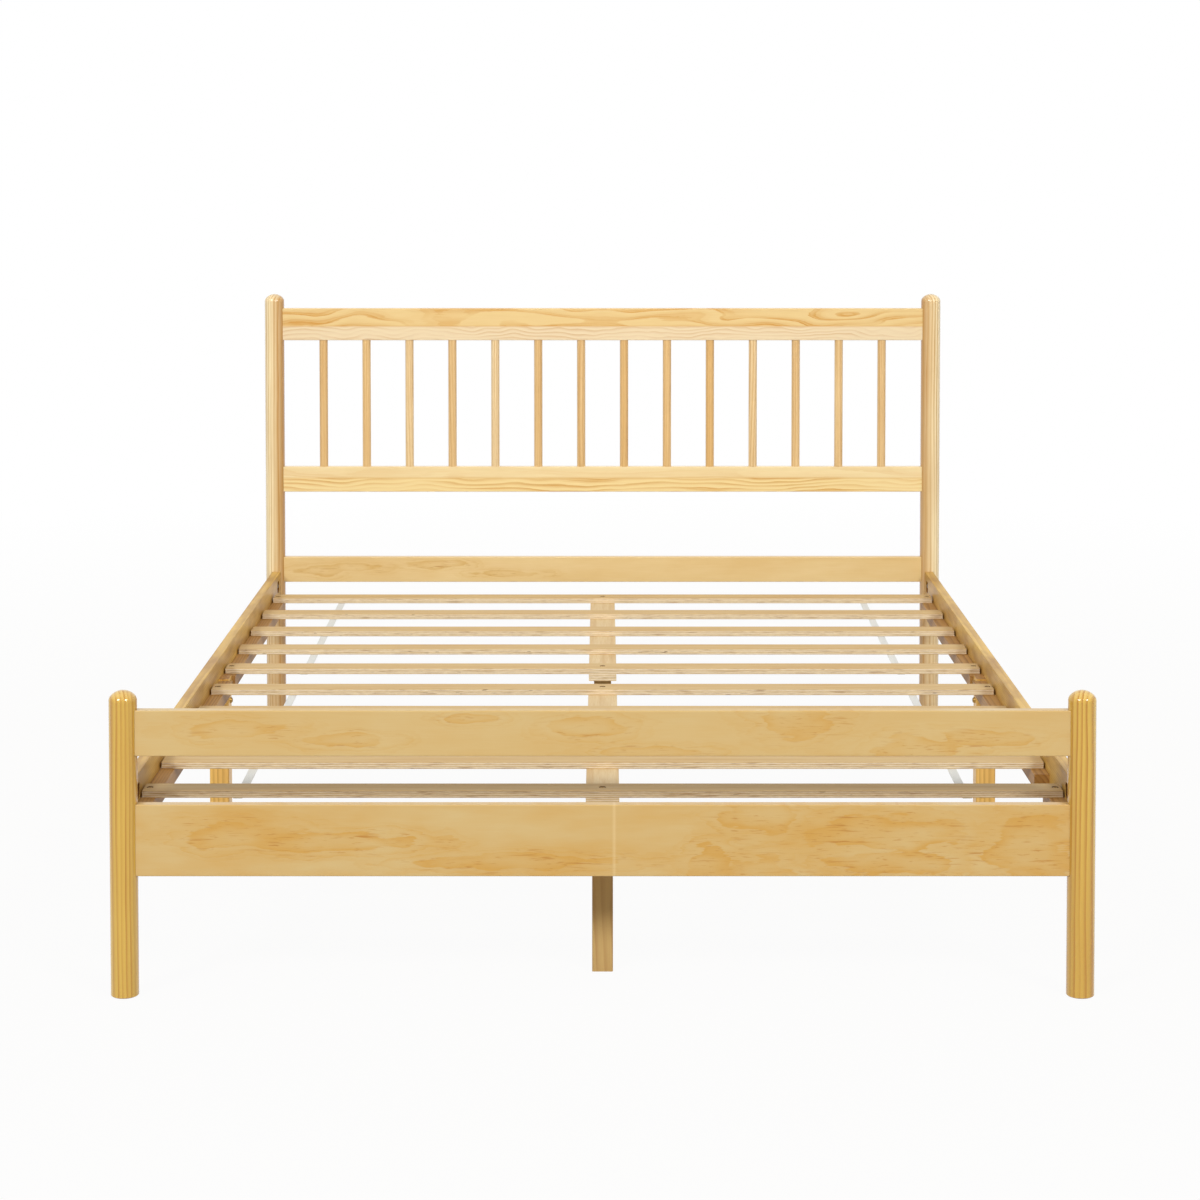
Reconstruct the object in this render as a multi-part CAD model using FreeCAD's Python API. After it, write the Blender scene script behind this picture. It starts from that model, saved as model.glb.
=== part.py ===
"""Pine bedstead with a spindle headboard, for a mattress 1524 mm wide and 2032 mm long.

All sizes are millimetres.  X runs across the bed, Y from the foot (-Y) to the head (+Y) and
Z up.  The floor is Z = 0 and the origin is the middle of the footprint.

Round posts carry flat rails that sit in flat-bottomed housings.  Two mats of slats, each strapped
and with its own centre board and legs, lie on ledgers glued to the side rails.
"""
import FreeCAD, Part
import os
from collections import namedtuple

# ---------------------------------------------------------------- driving dimensions
# Mattress and the room left round it
mattress_width = 1524.0
mattress_length = 2032.0
mattress_side_gap = 8.0
mattress_end_gap = 16.5

# Round posts with domed tops
post_diameter = 46.0
post_dome_height = 17.0
post_shoulder_share = 0.7
post_foot_chamfer = 1.5
head_post_height = 1014.0
foot_post_height = 504.0

# Housings: flat-bottomed recesses in the posts that take the ends of the rails
housing_depth = 4.5
housing_clearance = 0.3

# Stub tenons on the cross rails' ends, glued in mortises in the posts
stub_tenon_length = 10.0
stub_tenon_thickness = 10.0
stub_tenon_shoulder = 10.0

# Room round every glued tenon, and beyond its end
tenon_clearance = 0.1
tenon_spare_depth = 1.0

# Cross rails of the headboard and footboard
cross_rail_thickness = 20.0
cross_rail_rounding = 1.6
head_top_rail_bottom = 904.0
head_top_rail_height = 76.0
spindle_rail_bottom = 541.0
spindle_rail_height = 60.0
head_base_rail_bottom = 324.0
head_base_rail_height = 60.0
foot_top_rail_bottom = 397.0
foot_top_rail_height = 75.0
foot_base_rail_bottom = 199.0
foot_base_rail_height = 118.0

# Spindles between the top rail and the spindle rail
spindle_count = 14
post_to_spindle = 116.75
spindle_diameter = 20.0
spindle_tenon_diameter = 12.0
spindle_tenon_length = 16.0
spindle_tenon_sides = 8

# Side rails, set a little inboard of the posts' centres
side_rail_thickness = 20.0
side_rail_inset = 3.0
side_rail_bottom = 250.0
side_rail_height = 100.0
side_rail_rounding = 1.6

# Ledgers, the battens under the slats' ends.  They stop under the slat at the head, and the right
# one is in three lengths with a break.
ledger_width = 26.0
ledger_height = 26.0
ledger_drop = 44.0
ledger_chamfer = 1.0
ledger_post_gap = 3.0
ledger_leg_gap = 2.0
ledger_head_inset = 12.0
ledger_break_setback = 150.0
ledger_break_length = 91.0

# Slats, in two mats with half of the slats each
slats_in_mat = 5
slat_width = 50.0
slat_thickness = 12.0
slat_chamfer = 0.6
slat_end_gap = 4.0
slat_foot_setback = 79.5
slat_head_setback = 145.8

# Centre boards and the legs under them
centre_board_width = 56.0
centre_board_thickness = 14.0
centre_board_chamfer = 0.8
centre_leg_size = 35.0
centre_leg_setback = 41.5
centre_leg_chamfer = 1.5
centre_leg_tenon_size = 18.0
centre_leg_tenon_length = 9.0

# Legs at mid length, notched over the side rails
mid_leg_depth = 46.0
mid_leg_tongue_thickness = 19.0
mid_leg_tongue_drop = 41.0
mid_leg_chamfer = 2.5

# Webbing straps stapled under the slats of each mat
strap_width = 15.0
strap_thickness = 1.2
strap_setback = 159.0

# Hanger bolts that hold the side rails, with washers and nuts in routed pockets
bolt_diameter = 6.0
bolt_sides = 8
bolt_clearance = 0.2
hanger_depth_in_post = 24.0
pocket_setback = 25.0
pocket_length = 36.0
pocket_height = 28.0
pocket_depth = 15.6
pocket_corner_radius = 5.0
washer_diameter = 17.0
washer_sides = 16
washer_flat = 5.0
washer_thickness = 2.0
nut_across_flats = 10.0
nut_thickness = 5.0
hanger_past_nut = 4.0

# Bolts through the tongues of the mid-length legs into the side rails
mid_leg_bolt_edge = 12.0
mid_leg_bolt_grip = 13.0
mid_leg_bolt_head_diameter = 12.0
mid_leg_bolt_head_height = 5.0
mid_leg_bolt_head_sides = 12

# Counterbores for the screws of the first and last slat of each mat
slat_counterbore_diameter = 12.0
slat_counterbore_depth = 3.0
slat_counterbore_sides = 12

# ---------------------------------------------------------------- places worked out from them
V = FreeCAD.Vector
X_AXIS, Y_AXIS, Z_AXIS = V(1, 0, 0), V(0, 1, 0), V(0, 0, 1)
LEFT, RIGHT = -1, 1
FOOT, HEAD = -1, 1

post_radius = post_diameter / 2
housing_seat = post_radius - housing_depth
rail_face_x = mattress_width / 2 + mattress_side_gap
side_rail_x = rail_face_x + side_rail_thickness / 2
post_x = side_rail_x + side_rail_inset
post_y = mattress_length / 2 + mattress_end_gap + cross_rail_thickness / 2
cross_rail_end_x = post_x - housing_seat
side_rail_end_y = post_y - housing_seat

spindle_pitch = 2 * (post_x - post_to_spindle) / (spindle_count - 1)

side_rail_top = side_rail_bottom + side_rail_height
ledger_top = side_rail_top - ledger_drop
ledger_bottom = ledger_top - ledger_height
ledger_face_x = rail_face_x - ledger_width
ledger_x = rail_face_x - ledger_width / 2
ledger_leg_y = mid_leg_depth / 2 + ledger_leg_gap

slat_count = 2 * slats_in_mat
slat_bottom = ledger_top
slat_top = slat_bottom + slat_thickness
slat_half_length = rail_face_x - slat_end_gap
strap_x = slat_half_length - strap_setback
slat_foot_y = -post_y + slat_foot_setback + slat_width / 2
slat_head_y = post_y - slat_head_setback - slat_width / 2
slat_pitch = (slat_head_y - slat_foot_y) / (slat_count - 1)
centre_board_bottom = slat_bottom - centre_board_thickness

pocket_z = ledger_top + pocket_height / 2
hanger_washer_y = side_rail_end_y - pocket_setback

Rail = namedtuple("Rail", "node end bottom height")
head_top_rail = Rail("head_top_rail", HEAD, head_top_rail_bottom, head_top_rail_height)
spindle_rail = Rail("head_spindle_rail", HEAD, spindle_rail_bottom, spindle_rail_height)
head_base_rail = Rail("head_base_rail", HEAD, head_base_rail_bottom, head_base_rail_height)
foot_top_rail = Rail("foot_top_rail", FOOT, foot_top_rail_bottom, foot_top_rail_height)
foot_base_rail = Rail("foot_base_rail", FOOT, foot_base_rail_bottom, foot_base_rail_height)
cross_rails = (head_top_rail, spindle_rail, head_base_rail, foot_top_rail, foot_base_rail)


def slat_y(number):
    """Centre of a slat; number 1 is at the head."""
    return slat_head_y - (number - 1) * slat_pitch


def spindle_x(number):
    """Centre of a spindle; number 1 is at the left."""
    return (number - (spindle_count + 1) / 2) * spindle_pitch


# ---------------------------------------------------------------- shapes used by many pieces
def block(x_span, y_span, z_span):
    """Box between two values on each axis, given in either order."""
    low = V(min(x_span), min(y_span), min(z_span))
    high = V(max(x_span), max(y_span), max(z_span))
    size = high - low
    return Part.makeBox(size.x, size.y, size.z, low)


def prism(diameter, sides, start, end):
    """Bar with few flat sides between two points; the diameter is taken over its corners."""
    axis = end - start
    corner = X_AXIS if abs(axis.dot(Z_AXIS)) > 0.5 * axis.Length else Z_AXIS
    corner = corner * (diameter / 2)
    turn = FreeCAD.Rotation(axis, 360 / sides)
    points = [start + corner]
    for _ in range(sides):
        corner = turn.multVec(corner)
        points.append(start + corner)
    return Part.Face(Part.makePolygon(points)).extrude(axis)


def lengthwise_edges(solid, direction):
    return [edge for edge in solid.Edges
            if abs(edge.tangentAt(edge.FirstParameter).dot(direction)) > 0.999]


def round_edges(solid, direction, radius, thinnest):
    """Rounds the edges that run along a direction, by no more than a third of the wall."""
    return solid.makeFillet(min(radius, thinnest / 3), lengthwise_edges(solid, direction))


def chamfer_edges(solid, direction, width, thinnest):
    """Chamfers the edges that run along a direction, by no more than a third of the wall."""
    return solid.makeChamfer(min(width, thinnest / 3), lengthwise_edges(solid, direction))


# ---------------------------------------------------------------- joints and fastenings
def stub_tenon(rail, side, grow):
    """Tenon on one end of a cross rail, or its mortise where grow is a clearance."""
    spare = tenon_spare_depth if grow else 0
    half = stub_tenon_thickness / 2 + grow
    middle = rail.end * post_y
    shoulder = min(stub_tenon_shoulder, rail.height / 4) - grow
    tip = cross_rail_end_x + stub_tenon_length + spare
    return block((side * (cross_rail_end_x - half), side * tip), (middle - half, middle + half),
                 (rail.bottom + shoulder, rail.bottom + rail.height - shoulder))


def spindle_tenon(number, mouth_z, direction, grow):
    """Tenon at one end of a spindle, or its socket where grow is a clearance."""
    length = spindle_tenon_length + (tenon_spare_depth if grow else 0)
    start = V(spindle_x(number), post_y, mouth_z)
    return prism(spindle_tenon_diameter + 2 * grow, spindle_tenon_sides, start,
                 start + Z_AXIS * direction * length)


def spindle_sockets(mouth_z, direction):
    return [spindle_tenon(number, mouth_z, direction, tenon_clearance)
            for number in range(1, spindle_count + 1)]


def centre_leg_tenon(y, grow):
    """Tenon on a centre leg, or its mortise in the board where grow is a clearance."""
    half = centre_leg_tenon_size / 2 + grow
    spare = tenon_spare_depth if grow else 0
    return block((-half, half), (y - half, y + half),
                 (centre_board_bottom, centre_board_bottom + centre_leg_tenon_length + spare))


def hanger_bolt(side, end, grow):
    """Headless bolt from a post through the side rail's end into its pocket, or its hole."""
    start_y = side_rail_end_y + hanger_depth_in_post + grow
    tip_y = hanger_washer_y - washer_thickness - nut_thickness - hanger_past_nut
    return prism(bolt_diameter + 2 * grow, bolt_sides,
                 V(side * side_rail_x, end * start_y, pocket_z),
                 V(side * side_rail_x, end * tip_y, pocket_z))


def half_moon_washer(side, end):
    """Washer against the pocket's wall, with a flat on the side of the pocket's floor."""
    centre = V(side * side_rail_x, end * hanger_washer_y, pocket_z)
    disc = prism(washer_diameter, washer_sides, centre, centre - Y_AXIS * end * washer_thickness)
    outer = side * (side_rail_x + washer_flat)
    waste = block((outer, outer + side * washer_diameter),
                  (centre.y - washer_diameter, centre.y + washer_diameter),
                  (pocket_z - washer_diameter, pocket_z + washer_diameter))
    return disc.cut(waste).cut(hanger_bolt(side, end, bolt_clearance))


def hanger_nut(side, end):
    start = V(side * side_rail_x, end * (hanger_washer_y - washer_thickness), pocket_z)
    across_corners = nut_across_flats * 2 / 3 ** 0.5
    nut = prism(across_corners, 6, start, start - Y_AXIS * end * nut_thickness)
    return nut.cut(hanger_bolt(side, end, bolt_clearance))


def mid_leg_bolt_heights():
    tongue_top = side_rail_top - mid_leg_tongue_drop
    return side_rail_bottom + mid_leg_bolt_edge, tongue_top - mid_leg_bolt_edge


def mid_leg_bolt_place(side, z):
    """Middle of a bolt head's underside, on the tongue's inner face."""
    return V(side * (rail_face_x - mid_leg_tongue_thickness), 0, z)


def mid_leg_bolt_shank(side, z, grow):
    """Shank of a mid-length leg's bolt, or its hole where grow is a clearance."""
    seat = mid_leg_bolt_place(side, z)
    length = mid_leg_tongue_thickness + mid_leg_bolt_grip + grow
    return prism(bolt_diameter + 2 * grow, bolt_sides, seat, seat + X_AXIS * side * length)


def mid_leg_bolt(side, z):
    seat = mid_leg_bolt_place(side, z)
    head = prism(mid_leg_bolt_head_diameter, mid_leg_bolt_head_sides,
                 seat - X_AXIS * side * mid_leg_bolt_head_height, seat)
    return head.fuse(mid_leg_bolt_shank(side, z, 0))


Ledger = namedtuple("Ledger", "node side start end")


def ledger_lengths():
    """Every ledger, with its span along Y."""
    near_foot = -post_y + post_radius + ledger_post_gap
    break_start = -post_y + ledger_break_setback
    break_end = break_start + ledger_break_length
    rear_span = (ledger_leg_y, slat_y(1) + slat_width / 2 - ledger_head_inset)
    return (
        Ledger("ledger_left_front", LEFT, near_foot, -ledger_leg_y),
        Ledger("ledger_left_rear", LEFT, *rear_span),
        Ledger("ledger_right_foot", RIGHT, near_foot, break_start),
        Ledger("ledger_right_front", RIGHT, break_end, -ledger_leg_y),
        Ledger("ledger_right_rear", RIGHT, *rear_span),
    )


def fixed_slats():
    """The first and last slat of each mat, which are screwed down."""
    return 1, slats_in_mat, slats_in_mat + 1, slat_count


def slat_counterbore(x, number):
    floor = V(x, slat_y(number), slat_top - slat_counterbore_depth)
    return prism(slat_counterbore_diameter, slat_counterbore_sides, floor,
                 floor + Z_AXIS * (slat_counterbore_depth + 1))


def mat_ends(first, last):
    """Y of the head-side edge of the first slat and the foot-side edge of the last."""
    return slat_y(first) + slat_width / 2, slat_y(last) - slat_width / 2


def centre_leg_places():
    """Centres of the centre legs: one near each end of each mat's board, from the head."""
    inset = centre_leg_setback + centre_leg_size / 2
    head_mat = mat_ends(1, slats_in_mat)
    foot_mat = mat_ends(slats_in_mat + 1, slat_count)
    return (head_mat[0] - inset, head_mat[1] + inset, foot_mat[0] - inset, foot_mat[1] + inset)


# ---------------------------------------------------------------- the pieces
def dome_arcs(height):
    """Profile of a post's dome: a tight arc at the shoulder that runs into a flatter crown."""
    shoulder_radius = post_shoulder_share * post_dome_height
    inset = post_radius - shoulder_radius
    crown_radius = ((inset ** 2 + post_dome_height ** 2 - shoulder_radius ** 2)
                    / (2 * (post_dome_height - shoulder_radius)))
    shoulder_centre = V(inset, 0, height - post_dome_height)
    crown_centre = V(0, 0, height - crown_radius)
    lean = (shoulder_centre - crown_centre).normalize()
    meeting = shoulder_centre + lean * shoulder_radius
    shoulder_middle = shoulder_centre + (X_AXIS + lean).normalize() * shoulder_radius
    crown_middle = crown_centre + (lean + Z_AXIS).normalize() * crown_radius
    return [Part.Arc(shoulder_centre + X_AXIS * shoulder_radius, shoulder_middle,
                     meeting).toShape(),
            Part.Arc(meeting, crown_middle, V(0, 0, height)).toShape()]


def post(side, end, height):
    """Turned post with its dome, the housings for its rails and the holes of its joints."""
    corners = [V(0, 0, height), V(0, 0, 0), V(post_radius - post_foot_chamfer, 0, 0),
               V(post_radius, 0, post_foot_chamfer),
               V(post_radius, 0, height - post_dome_height)]
    outline = [Part.makeLine(a, b) for a, b in zip(corners, corners[1:])] + dome_arcs(height)
    solid = Part.Face(Part.Wire(outline)).revolve(V(0, 0, 0), Z_AXIS, 360)
    solid.translate(V(side * post_x, end * post_y, 0))

    holes = [hanger_bolt(side, end, 0)]
    half_width = cross_rail_thickness / 2 + housing_clearance
    for rail in cross_rails:
        if rail.end == end:
            holes.append(block(
                (side * cross_rail_end_x, side * (post_x - 2 * post_radius)),
                (end * post_y - half_width, end * post_y + half_width),
                (rail.bottom - housing_clearance, rail.bottom + rail.height + housing_clearance)))
            holes.append(stub_tenon(rail, side, tenon_clearance))

    half_width = side_rail_thickness / 2 + housing_clearance
    holes.append(block(
        (side * side_rail_x - half_width, side * side_rail_x + half_width),
        (end * side_rail_end_y, end * (post_y - 2 * post_radius)),
        (side_rail_bottom - housing_clearance, side_rail_top + housing_clearance)))
    return solid.cut(holes)


def cross_rail(rail):
    """Flat rail with rounded long edges and a stub tenon at each end."""
    half = cross_rail_thickness / 2
    middle = rail.end * post_y
    solid = block((-cross_rail_end_x, cross_rail_end_x), (middle - half, middle + half),
                  (rail.bottom, rail.bottom + rail.height))
    solid = round_edges(solid, X_AXIS, cross_rail_rounding, cross_rail_thickness)
    return solid.fuse([stub_tenon(rail, side, 0) for side in (LEFT, RIGHT)])


def spindle(number):
    """Turned spindle with a tenon at each end, shouldered on the two rails."""
    bottom = spindle_rail_bottom + spindle_rail_height
    top = head_top_rail_bottom
    body = Part.makeCylinder(spindle_diameter / 2, top - bottom,
                             V(spindle_x(number), post_y, bottom))
    return body.fuse([spindle_tenon(number, bottom, -1, 0), spindle_tenon(number, top, 1, 0)])


def nut_pocket(side, end):
    """Routed pocket in the side rail's inner face, with rounded corners."""
    start = end * (side_rail_end_y - pocket_setback)
    solid = block((side * (rail_face_x - 1), side * (rail_face_x + pocket_depth)),
                  (start, start - end * pocket_length),
                  (pocket_z - pocket_height / 2, pocket_z + pocket_height / 2))
    return round_edges(solid, X_AXIS, pocket_corner_radius, pocket_height)


def side_rail(side):
    """Side rail with a nut pocket near each end and holes for its bolts."""
    solid = block((side * rail_face_x, side * (rail_face_x + side_rail_thickness)),
                  (-side_rail_end_y, side_rail_end_y), (side_rail_bottom, side_rail_top))
    solid = round_edges(solid, Y_AXIS, side_rail_rounding, side_rail_thickness)
    holes = [mid_leg_bolt_shank(side, z, bolt_clearance) for z in mid_leg_bolt_heights()]
    for end in (FOOT, HEAD):
        holes += [nut_pocket(side, end), hanger_bolt(side, end, bolt_clearance)]
    return solid.cut(holes)


def ledger_batten(ledger):
    """Batten under the slats' ends, glued to the side rail's inner face."""
    solid = block((ledger.side * ledger_face_x, ledger.side * rail_face_x),
                  (ledger.start, ledger.end), (ledger_bottom, ledger_top))
    return chamfer_edges(solid, Y_AXIS, ledger_chamfer, ledger_width)


def mid_leg(side):
    """Square leg at mid length, notched so that a tongue rises inside the side rail."""
    tongue_top = side_rail_top - mid_leg_tongue_drop
    inner = rail_face_x - mid_leg_tongue_thickness
    outer = rail_face_x + side_rail_thickness
    half = mid_leg_depth / 2
    solid = block((side * inner, side * outer), (-half, half), (0, tongue_top))
    solid = chamfer_edges(solid, Z_AXIS, mid_leg_chamfer, outer - inner)
    notch = block((side * rail_face_x, side * (outer + 1)), (-half - 1, half + 1),
                  (side_rail_bottom, tongue_top + 1))
    return solid.cut([notch] + [mid_leg_bolt_shank(side, z, bolt_clearance)
                                for z in mid_leg_bolt_heights()])


def slat(number):
    """Plywood slat; the first and last of each mat are counterbored for three screws."""
    half = slat_width / 2
    middle = slat_y(number)
    solid = block((-slat_half_length, slat_half_length), (middle - half, middle + half),
                  (slat_bottom, slat_top))
    solid = chamfer_edges(solid, X_AXIS, slat_chamfer, slat_thickness)
    if number in fixed_slats():
        solid = solid.cut([slat_counterbore(x, number) for x in (-ledger_x, 0, ledger_x)])
    return solid


def centre_board(first, last):
    """Board under the middle of a mat's slats, mortised for its two legs."""
    head_edge, foot_edge = mat_ends(first, last)
    half = centre_board_width / 2
    solid = block((-half, half), (foot_edge, head_edge), (centre_board_bottom, slat_bottom))
    solid = chamfer_edges(solid, Y_AXIS, centre_board_chamfer, centre_board_thickness)
    return solid.cut([centre_leg_tenon(y, tenon_clearance)
                      for y in centre_leg_places() if foot_edge < y < head_edge])


def centre_leg(y):
    """Square leg under a centre board, with a tenon on its top."""
    half = centre_leg_size / 2
    solid = block((-half, half), (y - half, y + half), (0, centre_board_bottom))
    solid = chamfer_edges(solid, Z_AXIS, centre_leg_chamfer, centre_leg_size)
    return solid.fuse(centre_leg_tenon(y, 0))


def straps(first, last):
    """Two webbing straps along the underside of a mat."""
    half = strap_width / 2
    return [block((x - half, x + half), mat_ends(first, last),
                  (slat_bottom - strap_thickness, slat_bottom))
            for x in (-strap_x, strap_x)]


# ---------------------------------------------------------------- the assembly
def assembly():
    """Every sub-part by name, with the list of its solids."""
    nodes = {}
    for side, side_name in ((LEFT, "left"), (RIGHT, "right")):
        nodes["head_post_" + side_name] = [post(side, HEAD, head_post_height)]
        nodes["foot_post_" + side_name] = [post(side, FOOT, foot_post_height)]
        nodes["side_rail_" + side_name] = [side_rail(side)]
        nodes["mid_leg_" + side_name] = [mid_leg(side)]

    for rail in cross_rails:
        nodes[rail.node] = [cross_rail(rail)]
    for rail, mouth_z, direction in (
            (head_top_rail, head_top_rail_bottom, 1),
            (spindle_rail, spindle_rail_bottom + spindle_rail_height, -1)):
        nodes[rail.node] = [nodes[rail.node][0].cut(spindle_sockets(mouth_z, direction))]
    for number in range(1, spindle_count + 1):
        nodes["spindle_%02d" % number] = [spindle(number)]

    for ledger in ledger_lengths():
        nodes[ledger.node] = [ledger_batten(ledger)]
    for number in range(1, slat_count + 1):
        nodes["slat_%02d" % number] = [slat(number)]
    for mat_name, first in (("head", 1), ("foot", slats_in_mat + 1)):
        last = first + slats_in_mat - 1
        nodes["centre_board_" + mat_name] = [centre_board(first, last)]
        nodes["slat_straps_" + mat_name] = straps(first, last)
    for number, y in enumerate(centre_leg_places(), start=1):
        nodes["centre_leg_%d" % number] = [centre_leg(y)]

    corners = [(side, end) for side in (LEFT, RIGHT) for end in (FOOT, HEAD)]
    nodes["hanger_bolts"] = [hanger_bolt(side, end, 0) for side, end in corners]
    nodes["half_moon_washers"] = [half_moon_washer(side, end) for side, end in corners]
    nodes["hanger_nuts"] = [hanger_nut(side, end) for side, end in corners]
    nodes["mid_leg_bolts"] = [mid_leg_bolt(side, z)
                              for side in (LEFT, RIGHT) for z in mid_leg_bolt_heights()]
    return nodes


os.makedirs("parts", exist_ok=True)
for node, solids in assembly().items():
    shape = solids[0] if len(solids) == 1 else Part.makeCompound(solids)
    shape.exportStep("parts/" + node + ".step")
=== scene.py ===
from collections import namedtuple
from functools import partial
import math

import bmesh
import bpy
from bpy.props import FloatProperty, FloatVectorProperty, PointerProperty
from mathutils import Matrix, Vector


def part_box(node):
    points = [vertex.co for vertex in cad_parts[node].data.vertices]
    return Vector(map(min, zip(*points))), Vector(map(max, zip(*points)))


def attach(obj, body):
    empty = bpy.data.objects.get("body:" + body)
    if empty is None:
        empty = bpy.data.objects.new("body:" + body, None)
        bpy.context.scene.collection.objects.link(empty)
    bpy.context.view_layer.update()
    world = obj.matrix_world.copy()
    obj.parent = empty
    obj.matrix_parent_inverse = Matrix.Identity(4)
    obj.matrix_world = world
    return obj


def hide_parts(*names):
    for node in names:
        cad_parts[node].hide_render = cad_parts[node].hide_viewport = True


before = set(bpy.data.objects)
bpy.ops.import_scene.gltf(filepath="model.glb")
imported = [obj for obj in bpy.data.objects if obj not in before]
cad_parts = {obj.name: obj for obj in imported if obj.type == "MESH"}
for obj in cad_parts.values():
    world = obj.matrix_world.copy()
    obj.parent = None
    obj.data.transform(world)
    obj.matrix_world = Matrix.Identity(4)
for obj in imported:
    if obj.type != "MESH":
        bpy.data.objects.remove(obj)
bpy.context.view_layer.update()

bl_info = {
    "name": "Spindle Bed",
    "version": (1, 0, 0),
    "blender": (4, 5, 0),
    "location": "3D View > Sidebar > Spindle Bed",
    "description": "Wood, webbing and fastenings of a pine bed with a spindle headboard",
    "category": "Object",
}

MM = 0.001
BODY = "root"
ORIGIN = (0, 0, 0)
METRE = (1, 1, 1)
ENDLESS = 1000.0  # metres on an axis that a pattern doesn't follow

# CAD nodes by kind, from the head to the foot and from left to right
SLATS = ["slat_%02d" % number for number in range(1, 11)]
FIXED_SLATS = ("slat_01", "slat_05", "slat_06", "slat_10")
MATS = ("head", "foot")
SPINDLES = ["spindle_%02d" % number for number in range(1, 15)]
SIDE_RAILS = ("side_rail_left", "side_rail_right")
LEDGERS = ("ledger_left_front", "ledger_left_rear", "ledger_right_foot", "ledger_right_front",
           "ledger_right_rear")
MID_LEGS = ("mid_leg_left", "mid_leg_right")
CENTRE_LEGS = ["centre_leg_%d" % number for number in range(1, 5)]
CENTRE_BOARDS = ("centre_board_head", "centre_board_foot")
STEEL_NODES = ("hanger_bolts", "half_moon_washers", "hanger_nuts")

# Sizes in metres of what shows in the wood, along the grain and across it.  Fibres are drawn
# coarser than real ones, so that they show.
RING_SWAY = (1.1, 0.11)
RING_FRAY = (0.16, 0.016)
RING_VIGOUR = (0.5, 0.012)
RING_FIBRES = (0.06, 0.0009)
PINE_CLOUDS = (0.30, 0.07)
FLAT_FIBRES = (0.045, 0.0008)
GLUED_FIBRES = (0.05, 0.0008)
VENEER_VEINS = (0.35, 0.014)
VENEER_FIBRES = (0.035, 0.0009)

# The same on X, Y and Z, for wood that lies one way and for other materials
RAIL_STAIN = (0.05, 0.15, 0.028)
PORES = (0.0025,) * 3
SHORT_DASHES = (0.026, 0.3, 0.0030)
LONG_DASHES = (0.07, 0.3, 0.0045)
RIM_WARP = (0.075, 0.3, 0.028)
ARCH_MOTTLE = (0.11, 0.3, 0.035)
FLAT_HAZE = (0.22, 0.3, 0.06)
LAYER_FRAY = (0.05, 0.3, 0.005)
LAYER_VIGOUR = (0.28, 0.3, 0.03)
LAYER_BEND_ACROSS = (0.4, 0.08)  # on Y and Z
PLY_SWAY = (0.2, 0.2, 0.02)
PLY_STROKES = (0.05, 0.05, 0.0026)
PLY_GRIT = (0.012, 0.012, 0.0012)
PLY_VOIDS = (0.022, 0.022, 0.0022)
PLY_VOID_RUNS = (0.16, 0.16, 0.03)
STRAY_YARN = (0.0011,) * 3
ZINC_MOTTLE = (0.0014,) * 3
FLOOR_GRIT = (0.02,) * 3

# Depth of each material's relief
WOOD_RELIEF = 0.06 * MM
PLY_RELIEF = 0.1 * MM
WEAVE_RELIEF = 0.3 * MM
ZINC_RELIEF = 0.03 * MM

# How dark pine is across one growth ring: soft early wood, then late wood with a hard edge
RING = ((0.0, 0.5), (0.08, 0.0), (0.45, 0.1), (0.78, 0.75), (0.96, 1.0))

# The same across a broad band that the saw cut flat, with a hard edge on one side
FLAME = ((0.0, 0.0), (0.03, 1.0), (0.30, 0.8), (0.50, 0.25), (0.75, 0.0))

# The same outwards from the middle of an arch: a dark rim, then fainter rims round it
ARCH_BANDS = (
    (0.0, 0.15), (0.20, 0.30), (0.40, 0.85), (0.47, 1.0), (0.50, 0.15), (0.56, 0.0),
    (0.68, 0.25), (0.75, 0.55), (0.77, 0.05), (0.92, 0.25), (0.94, 0.0))

# Shares and counts
SWAY_IN_RINGS = 5.5   # how many rings the sway moves a ring by
FRAY_IN_RINGS = 0.5
FINE_LINES = 4.3      # fine growth lines in one broad layer of a glued strip
PAST_ARCHES = 9.0     # farther than any arch reaches, in half widths of an arch
RIM_PUSHES = (1.7, 0.30, 0.45)  # how far warp, short and long dashes push a rim, in the same
RIM_REACH = (1.2, 3.2)          # where the bands round an arch start and end, in the same
LEVEL_NORMAL = 0.6    # a face whose normal rises or falls more than this is level
WAVE_PER_STEP = math.pi / 10    # scale at which a wave texture repeats once in each step

# Lengths in metres
POCKET_SKIN = 1.3 * MM      # how deep in a side rail's side a face belongs to a routed hole
POCKET_LIP = 3 * MM         # the same from its upper and lower edge
SEAM_HALF = 1.6 * MM        # half the width of a joint between two lengths of a rail
GLUE_HALF = 0.9 * MM        # half the width of the glue between two strips
COUNTERBORE_HALF = 6.6 * MM
VENEER_SKIN = 0.5 * MM      # a counterbore's walls start this far under the slat's face

# A turned post's wood: its pith beside its axis on X and Y, how strong its rings are and how far
# apart, on which side it takes a painted shade, and how strongly that painted shade, a darkening
# near the floor and painted light on its dome show
PostWood = namedtuple("PostWood", "aside contrast spread side heart")
POST_WOOD = {
    "head_post_left": PostWood((-0.09, 0.03), contrast=1.0, spread=1.2, side=1, heart=1.0),
    "head_post_right": PostWood((0.07, 0.03), contrast=0.9, spread=1.2, side=-1, heart=0.9),
    "foot_post_left": PostWood((0.08, 0.015), contrast=1.1, spread=1.1, side=1, heart=0.15),
    "foot_post_right": PostWood((-0.08, 0.01), contrast=1.2, spread=1.4, side=-1, heart=0.1),
}

# How a strip's layers run: their spacing in metres, how many layers a wave moves them by, the
# length of a wave in metres, and the profile across a layer
Figure = namedtuple("Figure", "spacing wave along profile")

# A strip of a glued rail: its ground, and its figure's colour and strength
Strip = namedtuple("Strip", "ground deep strength figure")

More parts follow.
